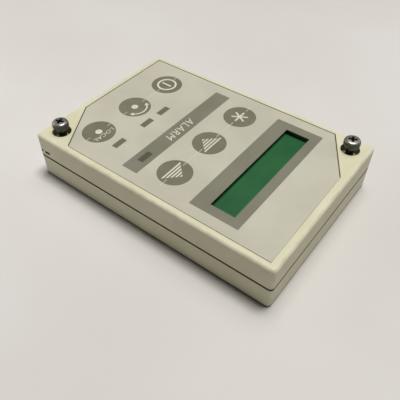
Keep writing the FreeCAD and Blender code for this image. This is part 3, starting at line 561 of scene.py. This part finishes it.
def carve(name, shape, cutter):  # the shape with the cutter taken out of it, as a mesh
    bmesh.ops.remove_doubles(shape, verts=shape.verts, dist=1e-7)
    whole = []
    for title, source in (("body", shape), ("cutter", cutter)):
        bmesh.ops.recalc_face_normals(source, faces=source.faces)
        mesh = bpy.data.meshes.new(name + title)
        source.to_mesh(mesh)
        source.free()
        whole.append(bpy.data.objects.new(name + title, mesh))
        bpy.context.scene.collection.objects.link(whole[-1])
    cut = whole[0].modifiers.new("cut", "BOOLEAN")
    cut.object = whole[1]
    cut.solver = "EXACT"
    cut.use_self = True
    bpy.context.view_layer.update()
    result = bpy.data.meshes.new_from_object(whole[0].evaluated_get(bpy.context.evaluated_depsgraph_get()))
    for spare in whole:
        bpy.data.objects.remove(spare)
    return result


# two tapered blades that cross over a cone; facing is 1 for a head that faces up, -1 for one that faces down
crossLook = {
    "past": 0.6 * mm, "armTaper": 0.5, "widthTaper": 0.8, "conePast": 0.54 * mm, "coneTip": 0.2,
    "coneTop": 1.05, "coneDrop": 0.2 * mm, "facets": 12,
}


def crossCutter(centre, arm, width, depth, facing):
    look = crossLook
    cutter = bmesh.new()
    for quarter in (0, 1):
        made = bmesh.ops.create_cube(cutter, size=1.0)["verts"]
        for corner in made:
            low = corner.co.z < 0
            corner.co.x *= arm * (look["armTaper"] if low else 1.0)
            corner.co.y *= width * (look["widthTaper"] if low else 1.0)
            corner.co.z = -depth if low else look["past"]
        bmesh.ops.rotate(cutter, verts=made, cent=(0, 0, 0),
                         matrix=Matrix.Rotation(quarter * math.pi / 2, 3, "Z"))
    above = look["conePast"]
    cone = bmesh.ops.create_cone(cutter, cap_ends=True, segments=look["facets"],
                                 radius1=width * look["coneTip"], radius2=width * look["coneTop"],
                                 depth=depth + above)["verts"]
    bmesh.ops.translate(cutter, verts=cone, vec=(0, 0, (above - depth) / 2 - look["coneDrop"]))
    bmesh.ops.scale(cutter, vec=(1, 1, facing), verts=cutter.verts)
    bmesh.ops.translate(cutter, vec=centre, verts=cutter.verts)
    return cutter


# captive corner screws: pan head, cross recess, waisted shank and rolled thread

captiveLook = {
    "headHeight": 3.1 * mm, "shankRadius": 1.95 * mm, "waistRadius": 1.58 * mm, "threadRadius": 1.99 * mm,
    "threadPitch": 0.7 * mm, "threadTurns": 12, "tipRadius": 1.1 * mm, "facets": 48,
    "recessArm": 4.9 * mm, "recessWidth": 1.25 * mm, "recessDepth": 2.0 * mm, "recessTurn": 20,
    "dome": ((0.4, 0.02), (0.64, 0.09), (0.78, 0.22), (0.88, 0.46), (0.95, 0.84), (0.99, 1.3), (1.0, 1.7)),
}  # each point of the dome is a share of the head's radius and a fall in mm


def captiveScrew(end):
    look = captiveLook
    source = "captive_screw_" + end
    low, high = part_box(source)
    centre = Vector((middle(source).x, middle(source).y, high.z))
    headRadius = (high.x - low.x) / 2
    drop = high.z - low.z
    neck = -look["headHeight"]
    threadTop = look["threadPitch"] * (look["threadTurns"] + 1) - drop + 0.8 * mm
    shank, waist = look["shankRadius"], look["waistRadius"]
    outline = [(0, 0)] + [(share * headRadius, -fall * mm) for share, fall in look["dome"]]
    outline += [(headRadius, neck + 0.15 * mm), (headRadius - 0.15 * mm, neck), (shank + 0.2 * mm, neck),
                (shank, neck - 0.2 * mm), (shank, threadTop + 0.8 * mm), (waist, threadTop + 0.3 * mm),
                (waist, -drop + 0.6 * mm), (look["tipRadius"], -drop), (0, -drop)]
    shape = bmesh.new()
    turned(shape, outline, centre, look["facets"])
    cutter = crossCutter(Vector((0, 0, 0)), look["recessArm"], look["recessWidth"], look["recessDepth"], 1)
    bmesh.ops.rotate(cutter, verts=cutter.verts, cent=(0, 0, 0),
                     matrix=Matrix.Rotation(math.radians(look["recessTurn"]), 3, "Z"))
    bmesh.ops.translate(cutter, verts=cutter.verts, vec=centre)
    mesh = carve("captive_" + end, shape, cutter)
    whole = bmesh.new()
    whole.from_mesh(mesh)
    root, crest, pitch = waist - 0.05 * mm, look["threadRadius"], look["threadPitch"]
    start = -drop + 0.7 * mm
    section = [(root, start), (crest, start + 0.42 * pitch), (crest, start + 0.54 * pitch),
               (root, start + 0.95 * pitch)]
    helix(whole, section, centre, look["threadTurns"], look["threadTurns"] * pitch, 20)
    bmesh.ops.recalc_face_normals(whole, faces=whole.faces)
    whole.to_mesh(mesh)
    whole.free()
    keepMesh("pan_screw_" + end, mesh, "screw_" + end, "captive_screw", finishes["captive_screw"], source,
             soften=32)


for end in ("top", "bottom"):
    captiveScrew(end)
print("captive screws")


# split spring washers under the screw heads

washerLook = {"wire": 0.92 * mm, "bore": 2.08 * mm, "gap": 13, "edge": 0.12 * mm, "facets": 40}


def springWasher(end):
    look = washerLook
    source = "lock_washer_" + end
    low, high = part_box(source)
    outer = (high.y - low.y) / 2
    centre = Vector((low.x + outer, (low.y + high.y) / 2, low.z))
    bore, edge, wire = look["bore"], look["edge"], look["wire"]
    section = [(bore, edge), (bore + edge, 0), (outer - edge, 0), (outer, edge),
               (outer, wire - edge), (outer - edge, wire), (bore + edge, wire), (bore, wire - edge)]
    shape = bmesh.new()
    turns = 1 - look["gap"] / 360
    helix(shape, section, centre, turns, high.z - low.z - wire, look["facets"])
    bmesh.ops.rotate(shape, verts=shape.verts, cent=centre,
                     matrix=Matrix.Rotation(math.radians(look["gap"] / 2), 3, "Z"))
    keep("spring_washer_" + end, shape, "washer_" + end, "washer_steel", finishes["washer_steel"], source,
         soften=35)


for end in ("top", "bottom"):
    springWasher(end)
print("spring washers")


# the two case screws that close the shells from the back

caseScrewLook = {
    "headRadius": 2.8 * mm, "headHeight": 2.0 * mm, "coreRadius": 1.08 * mm, "threadRadius": 1.44 * mm,
    "threadPitch": 1.1 * mm, "recessArm": 3.3 * mm, "recessWidth": 0.8 * mm, "recessDepth": 1.3 * mm,
    "facets": 36, "recessTurn": 0.5,  # in radians, one way on each screw
    "dome": ((0.45, 0.03), (0.75, 0.2), (0.92, 0.6), (1.0, 1.15)),
}


def caseScrews():
    look = caseScrewLook
    low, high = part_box("case_screws")
    whole = bmesh.new()
    length = high.z - low.z
    radius, head, core = look["headRadius"], look["headHeight"], look["coreRadius"]
    for side in (1, -1):
        centre = Vector((side * (high.x - radius), side * (high.y - radius), low.z))
        outline = [(0, 0)] + [(share * radius, rise * mm) for share, rise in look["dome"]]
        outline += [(radius, head - 0.1 * mm), (radius - 0.1 * mm, head), (core + 0.15 * mm, head),
                    (core, head + 0.3 * mm), (core, length - 1.6 * mm), (0.3 * mm, length - 0.1 * mm),
                    (0, length)]
        shape = bmesh.new()
        turned(shape, outline, centre, look["facets"])
        cutter = crossCutter(centre, look["recessArm"], look["recessWidth"], look["recessDepth"], -1)
        bmesh.ops.rotate(cutter, verts=cutter.verts, cent=centre,
                         matrix=Matrix.Rotation(side * look["recessTurn"], 3, "Z"))
        mesh = carve("case_screw", shape, cutter)
        whole.from_mesh(mesh)
        bpy.data.meshes.remove(mesh)
        root, pitch = core - 0.05 * mm, look["threadPitch"]
        start = head + 0.5 * mm
        turns = int((length - start - 2.2 * mm) / pitch)
        section = [(root, start), (look["threadRadius"], start + 0.3 * pitch), (root, start + 0.6 * pitch)]
        helix(whole, section, centre, turns, turns * pitch, 18)
    keep("tapping_screws", whole, "case", "zinc_screw", finishes["zinc_screw"], "case_screws", soften=32)


caseScrews()


# slotted clamp screws in the terminal wells

clampLook = {"radius": 1.8 * mm, "count": 4, "slotWidth": 0.6 * mm, "slotDepth": 0.55 * mm, "facets": 28,
             "turns": (12, -35, 64, 5)}


def clampScrews():
    look = clampLook
    low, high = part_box("terminal_screws")
    radius, thick = look["radius"], high.z - low.z
    step = (high.x - low.x - 2 * radius) / (look["count"] - 1)
    whole = bmesh.new()
    for place in range(look["count"]):
        centre = Vector((low.x + radius + place * step, (low.y + high.y) / 2, low.z))
        outline = [(0, 0), (0.8 * radius, 0), (radius - 0.1 * mm, 0.08 * mm), (radius, 0.25 * mm),
                   (radius, thick), (0, thick)]
        shape = bmesh.new()
        turned(shape, outline, centre, look["facets"])
        cutter = bmesh.new()
        bmesh.ops.create_cube(cutter, size=1.0)
        bmesh.ops.scale(cutter, verts=cutter.verts,
                        vec=(3 * radius, look["slotWidth"], 2 * look["slotDepth"]))
        bmesh.ops.rotate(cutter, verts=cutter.verts, cent=(0, 0, 0),
                         matrix=Matrix.Rotation(math.radians(look["turns"][place]), 3, "Z"))
        bmesh.ops.translate(cutter, verts=cutter.verts, vec=centre)
        mesh = carve("clamp_screw", shape, cutter)
        whole.from_mesh(mesh)
        bpy.data.meshes.remove(mesh)
    keep("clamp_screws", whole, "case", "zinc_screw", finishes["zinc_screw"], "terminal_screws", soften=32)


clampScrews()
print("case screws and clamp screws")


# printed artwork, a thin ink layer on the film and on the key caps

inkLook = {"lift": 0.004 * mm, "thick": 0.02 * mm}
inkBase = filmTop + inkLook["lift"]
greyPrint = ink("grey_screen_ink", greyInk)
whitePrint = ink("white_screen_ink", whiteInk)
faintPrint = ink("faint_screen_ink", faintInk)
linePrint = ink("cream_line_ink", lineInk)
tickPrint = ink("cream_tick_ink", tickInk)


def keepInk(name, shape, body, slot, finish):  # gives the flat shapes their thickness
    raised = bmesh.ops.extrude_face_region(shape, geom=list(shape.faces))["geom"]
    lifted = [part for part in raised if isinstance(part, bmesh.types.BMVert)]
    bmesh.ops.translate(shape, verts=lifted, vec=(0, 0, inkLook["thick"]))
    return keep(name, shape, body, slot, finish)


def outlined(shape, points):  # a filled outline in the plane of the print
    shape.faces.new([shape.verts.new((x, y, inkBase)) for x, y in points])


def rectangle(left, bottom, right, top):
    return [(left, bottom), (right, bottom), (right, top), (left, top)]


def framed(shape, outer, inner):  # the band between two outlines with the same number of corners
    edges = []
    for points in (outer, inner):
        corners = [shape.verts.new((x, y, inkBase)) for x, y in points]
        edges += [shape.edges.new((corners[at - 1], corners[at])) for at in range(len(corners))]
    bmesh.ops.bridge_loops(shape, edges=edges)


def curved(shape, centre, inner, outer, start, sweep, steps):  # an arc or a ring
    across = Vector((math.cos(math.radians(start)), math.sin(math.radians(start)), 0))
    middlePoint = Vector((centre[0], centre[1], inkBase))
    corners = [shape.verts.new(middlePoint + across * r) for r in (inner, outer)]
    edge = shape.edges.new(corners)
    bmesh.ops.spin(shape, geom=corners + [edge], cent=middlePoint, axis=(0, 0, 1),
                   angle=math.radians(sweep), steps=steps, use_merge=sweep >= 360)


def lettering(name, words, look, body, finish):  # a slanted word, centred, as a raised mesh
    curve = bpy.data.curves.new(name, "FONT")
    curve.body = words
    curve.shear = look["slant"]
    curve.space_character = look["spacing"]
    curve.extrude = 0.5  # any thickness, because the mesh is scaled to the ink's below
    curve.resolution_u = 4
    written = bpy.data.objects.new(name, curve)
    bpy.context.scene.collection.objects.link(written)
    bpy.context.view_layer.update()
    mesh = bpy.data.meshes.new_from_object(written.evaluated_get(bpy.context.evaluated_depsgraph_get()))
    bpy.data.objects.remove(written)
    low = Vector([min(corner.co[axis] for corner in mesh.vertices) for axis in range(3)])
    high = Vector([max(corner.co[axis] for corner in mesh.vertices) for axis in range(3)])
    span = high - low
    size = Vector((look["width"], look["height"], inkLook["thick"]))
    grow = Matrix.Diagonal((size.x / span.x, size.y / span.y, size.z / span.z, 1))
    place = Vector((look["at"][0], look["at"][1], inkBase)) - Vector((size.x / 2, size.y / 2, 0))
    mesh.transform(Matrix.Translation(place) @ grow @ Matrix.Translation(-low))
    shape = bmesh.new()
    shape.from_mesh(mesh)
    bpy.data.meshes.remove(mesh)
    return keep(name, shape, body, "film" if body == "case" else "key_print", finish)


artLook = {  # frame and bar as left, bottom, right, top
    "frame": (-36.5 * mm, 20.0 * mm, 37.0 * mm, 45.2 * mm),
    "bar": (-36.5 * mm, -18.8 * mm, 37.0 * mm, -9.9 * mm),
    "lampSize": (7.3 * mm, 3.1 * mm), "lampGap": 0.05 * mm,
    "lineWidth": 0.55 * mm, "lineEnds": (-36.2 * mm, 36.4 * mm), "lineBite": 2.4 * mm, "lineGap": 0.15 * mm,
    "tickGap": 0.1 * mm, "keyRadius": 8.25 * mm,
}
alarmWord = {"at": (0, -14.1 * mm), "width": 19.4 * mm, "height": 4.3 * mm, "slant": 0.22, "spacing": 1.12}
localWord = {"at": (25.9 * mm, -41.0 * mm), "width": 12.6 * mm, "height": 2.3 * mm, "slant": 0.2,
             "spacing": 1.08}


def frameAndBar():
    look = artLook
    shape = bmesh.new()
    framed(shape, rectangle(*look["frame"]), rectangle(windowLow.x, windowLow.y, windowHigh.x, windowHigh.y))
    keepInk("display_frame_print", shape, "case", "film", greyPrint)
    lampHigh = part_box("indicator_lenses")[1]
    wide, tall = look["lampSize"]
    gap = look["lampGap"]
    hole = rectangle(lampHigh.x - wide - gap, lampHigh.y - tall - gap, lampHigh.x + gap, lampHigh.y + gap)
    shape = bmesh.new()
    framed(shape, rectangle(*look["bar"]), hole)
    keepInk("alarm_bar_print", shape, "case", "film", greyPrint)
    word = lettering("alarm_word_print", "ALARM", alarmWord, "case", whitePrint)
    for corner in word.data.vertices:  # the word lies on the bar's own ink
        corner.co.z += inkLook["thick"]


frameAndBar()


# cream centre lines run from key to key, and a short way into each cap
def rowOf(keys):
    return sum(middle("key_" + key).y for key in keys) / len(keys)


def centreLines():
    look = artLook
    shape = bmesh.new()
    half = look["lineWidth"] / 2
    for keys in (("star", "down", "up"), ("start_stop", "direction", "local")):
        y = rowOf(keys)
        stops = [look["lineEnds"][0]]
        for key in keys:
            x = middle("key_" + key).x
            reach = look["keyRadius"] + look["lineGap"]
            stops += [x - reach, x + reach]
        stops.append(look["lineEnds"][1])
        for start, end in zip(stops[::2], stops[1::2]):
            outlined(shape, rectangle(start, y - half, end, y + half))
    keepInk("centre_line_print", shape, "case", "film", linePrint)


centreLines()


def capTicks(shape, centre):  # the line's two ends on a key cap
    look = artLook
    half = look["lineWidth"] / 2
    for side in (-1, 1):
        near, far = sorted((centre.x + side * (look["keyRadius"] - look["lineBite"]),
                            centre.x + side * (look["keyRadius"] - look["tickGap"])))
        outlined(shape, rectangle(near, centre.y - half, far, centre.y + half))


symbolLook = {
    "starReach": 4.2 * mm, "starWidth": 0.95 * mm,
    "stripes": 5, "stripePitch": 1.48 * mm, "stripeThick": 0.82 * mm, "stripeWidest": 6.5 * mm,
    "stripeBase": 2.1 * mm, "ringInner": 4.35 * mm, "ringOuter": 5.4 * mm, "strokeWidth": 1.05 * mm,
    "strokeLow": -3.2 * mm, "strokeHigh": 2.8 * mm, "dotRadius": 1.78 * mm, "arcInner": 5.9 * mm,
    "arcOuter": 6.75 * mm, "arcFrom": 38, "headHalf": 1.35 * mm, "headLong": 2.1 * mm,
}


def starSymbol(shape, centre):
    look = symbolLook
    width = look["starWidth"]
    hub = bmesh.ops.create_circle(shape, cap_ends=True, segments=6, radius=width)["verts"]
    spot = Vector((centre.x, centre.y, inkBase))
    bmesh.ops.translate(shape, verts=hub, vec=spot)
    reach = look["starReach"] - width * math.cos(math.pi / 6)
    for side in dict.fromkeys(edge for corner in hub for edge in corner.link_edges):
        outward = sum((corner.co for corner in side.verts), Vector()) / 2 - spot
        arm = bmesh.ops.extrude_edge_only(shape, edges=[side])["geom"]
        tips = [part for part in arm if isinstance(part, bmesh.types.BMVert)]
        bmesh.ops.translate(shape, verts=tips, vec=outward.normalized() * reach)


def stripedArrow(shape, centre, heading):  # stripes that narrow to a point, up or down
    look = symbolLook
    for step in range(look["stripes"]):
        stripe, thick = step * look["stripePitch"], look["stripeThick"]
        corners = []
        for rise in (stripe - thick / 2, stripe + thick / 2):
            half = look["stripeWidest"] - rise
            y = centre.y + heading * (rise - look["stripeBase"])
            corners.append([(centre.x - half, y), (centre.x + half, y)])
        outlined(shape, [corners[0][0], corners[0][1], corners[1][1], corners[1][0]])


def startStopSymbol(shape, centre):
    look = symbolLook
    curved(shape, (centre.x, centre.y), look["ringInner"], look["ringOuter"], 0, 360, 48)
    half = look["strokeWidth"] / 2
    outlined(shape, rectangle(centre.x - half, centre.y + look["strokeLow"], centre.x + half,
                              centre.y + look["strokeHigh"]))


def dot(shape, centre):
    hub = bmesh.ops.create_circle(shape, cap_ends=True, segments=32, radius=symbolLook["dotRadius"])["verts"]
    bmesh.ops.translate(shape, verts=hub, vec=(centre.x, centre.y, inkBase))


def directionSymbol(shape, centre):
    look = symbolLook
    dot(shape, centre)
    curved(shape, (centre.x, centre.y), look["arcInner"], look["arcOuter"], look["arcFrom"],
           180 - 2 * look["arcFrom"], 24)
    track = (look["arcInner"] + look["arcOuter"]) / 2
    for side in (1, -1):
        angle = math.radians(90 - side * (90 - look["arcFrom"]))
        outward = Vector((math.cos(angle), math.sin(angle)))
        along = Vector((outward.y, -outward.x)) * side
        root = Vector((centre.x, centre.y)) + outward * track
        corners = [root - outward * look["headHalf"], root + outward * look["headHalf"],
                   root + along * look["headLong"]]
        outlined(shape, [tuple(corner) for corner in corners])


symbols = {
    "star": starSymbol,
    "down": lambda shape, centre: stripedArrow(shape, centre, -1),
    "up": lambda shape, centre: stripedArrow(shape, centre, 1),
    "start_stop": startStopSymbol,
    "direction": directionSymbol,
    "local": dot,
}
for key, draw in symbols.items():
    shape = bmesh.new()
    draw(shape, middle("key_" + key))
    keepInk("symbol_" + key, shape, "button_" + key, "key_print", whitePrint)
    shape = bmesh.new()
    capTicks(shape, middle("key_" + key))
    keepInk("ticks_" + key, shape, "button_" + key, "key_print", tickPrint)
lettering("small_word_local", "LOCAL", localWord, "button_local", whitePrint)


# faint turning marks printed above the three lower lamps
markLook = {
    "radius": 1.35 * mm, "width": 0.3 * mm, "rise": 3.6 * mm, "pairX": 6.25 * mm, "starts": (20, 200, 110),
    "sweep": 250, "tipWide": 0.55 * mm, "tipLong": 0.8 * mm,
}


def lampMarks():
    look = markLook
    low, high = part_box("indicator_lenses")
    lampX = high.x - artLook["lampSize"][0] / 2
    lampY = low.y + artLook["lampSize"][1] / 2
    shape = bmesh.new()
    for x, start in zip((-look["pairX"], look["pairX"], lampX), look["starts"]):
        centre = (x, lampY + look["rise"])
        curved(shape, centre, look["radius"] - look["width"], look["radius"], start, look["sweep"], 20)
        tip = math.radians(start)
        outward = Vector((math.cos(tip), math.sin(tip)))
        end = Vector(centre) + outward * look["radius"]
        side = outward * look["tipWide"]
        along = Vector((math.sin(tip), -math.cos(tip))) * look["tipLong"]
        outlined(shape, [tuple(end - side * 1.6), tuple(end + side * 0.6), tuple(end - side * 0.5 + along)])
    keepInk("lamp_mark_print", shape, "case", "film", faintPrint)


lampMarks()
print("printed artwork")


# stage, lights and camera

stageLook = {
    "table": "dedbd8", "tableDeep": "d8d4cf", "size": 4.0, "gap": 0.02 * mm, "drift": 0.16, "grain": 0.0012,
    "relief": 0.00002,
}


def tablePaint():
    look = stageLook
    paint = Paint("pale_table", {"IOR": 1.45, "Specular IOR Level": 0.3})
    drift = paint.noise(look["drift"], 3.0)
    grain = paint.noise(look["grain"], 3.0)
    color = paint.mix(shade(look["tableDeep"]), shade(look["table"]), paint.fade(drift, 0.3, 0.7))
    return paint.show(color=color, rough=0.55 + (grain - 0.5) * 0.1, normal=paint.bump(grain, look["relief"]))


table = bmesh.new()
bmesh.ops.create_grid(table, x_segments=1, y_segments=1, size=stageLook["size"] / 2)
tableMesh = bpy.data.meshes.new("table_top")
table.to_mesh(tableMesh)
table.free()
tableMesh.materials.append(tablePaint())
tableTop = bpy.data.objects.new("table_top", tableMesh)
tableTop.location.z = cadLow.z - stageLook["gap"]
bpy.context.scene.collection.objects.link(tableTop)

warmTint = (1.0, 0.985, 0.96)
lightLook = {
    "overhead_left": {"turn": 140, "rise": 80, "distance": 2.0, "size": 0.6, "power": 22.6},
    "overhead_right": {"turn": 222, "rise": 80, "distance": 2.0, "size": 0.6, "power": 6.2},
    "overhead_back": {"turn": 185, "rise": 70, "distance": 2.0, "size": 1.1, "power": 8.5},
    "low_left": {"turn": 295, "rise": 20, "distance": 0.36, "size": 0.25, "power": 0.135},
    "low_back": {"turn": 270, "rise": 30, "distance": 0.5, "size": 0.3, "power": 0.144},
    "low_right": {"turn": 155, "rise": 30, "distance": 0.5, "size": 0.3, "power": 0.11},
}
skyLook = {"tint": (0.95, 0.97, 1.0), "strength": 0.02, "wall": "d2cecb"}


def areaLight(name):
    look = lightLook[name]
    lamp = bpy.data.lights.new(name, "AREA")
    lamp.shape = "DISK"
    lamp.size = look["size"]
    lamp.energy = look["power"]
    lamp.color = warmTint
    turn, rise = math.radians(look["turn"]), math.radians(look["rise"])
    light = bpy.data.objects.new(name, lamp)
    away = Vector((math.cos(turn) * math.cos(rise), math.sin(turn) * math.cos(rise), math.sin(rise)))
    light.location = away * look["distance"]
    light.rotation_euler = (-away).to_track_quat("-Z", "Y").to_euler()
    bpy.context.scene.collection.objects.link(light)


for name in lightLook:
    areaLight(name)

# a faint sky lights the part, and only the camera's own rays see the pale wall
world = bpy.data.worlds.new("pale_room")
world.use_nodes = True
sky = world.node_tree.nodes["Background"]
sky.inputs["Color"].default_value = (*skyLook["tint"], 1.0)
sky.inputs["Strength"].default_value = skyLook["strength"]
wall = world.node_tree.nodes.new("ShaderNodeBackground")
wall.inputs["Color"].default_value = shade(skyLook["wall"])
seen = world.node_tree.nodes.new("ShaderNodeLightPath")
either = world.node_tree.nodes.new("ShaderNodeMixShader")
ends = (seen.outputs["Is Camera Ray"], sky.outputs[0], wall.outputs[0])
for slot, end in enumerate(ends):
    world.node_tree.links.new(end, either.inputs[slot])
world.node_tree.links.new(either.outputs[0], world.node_tree.nodes["World Output"].inputs["Surface"])
bpy.context.scene.world = world
bpy.context.scene.view_settings.view_transform = "Standard"

cameraLook = {
    "at": (0.1486, 0.1104, 0.1768), "target": (0.0329, 0.0229, 0.025), "lens": 44.34, "roll": 0.19,
    "sensor": 36, "nearest": 0.01,
}
cameraData = bpy.data.cameras.new("viewpoint")
cameraData.lens = cameraLook["lens"]
cameraData.sensor_width = cameraLook["sensor"]
cameraData.clip_start = cameraLook["nearest"]
camera = bpy.data.objects.new("viewpoint", cameraData)
camera.location = cameraLook["at"]
aim = (Vector(cameraLook["target"]) - camera.location).to_track_quat("-Z", "Y")
camera.rotation_euler = (aim @ Quaternion((0, 0, 1), math.radians(cameraLook["roll"]))).to_euler()
bpy.context.scene.collection.objects.link(camera)
bpy.context.scene.camera = camera
print("stage, lights and camera")
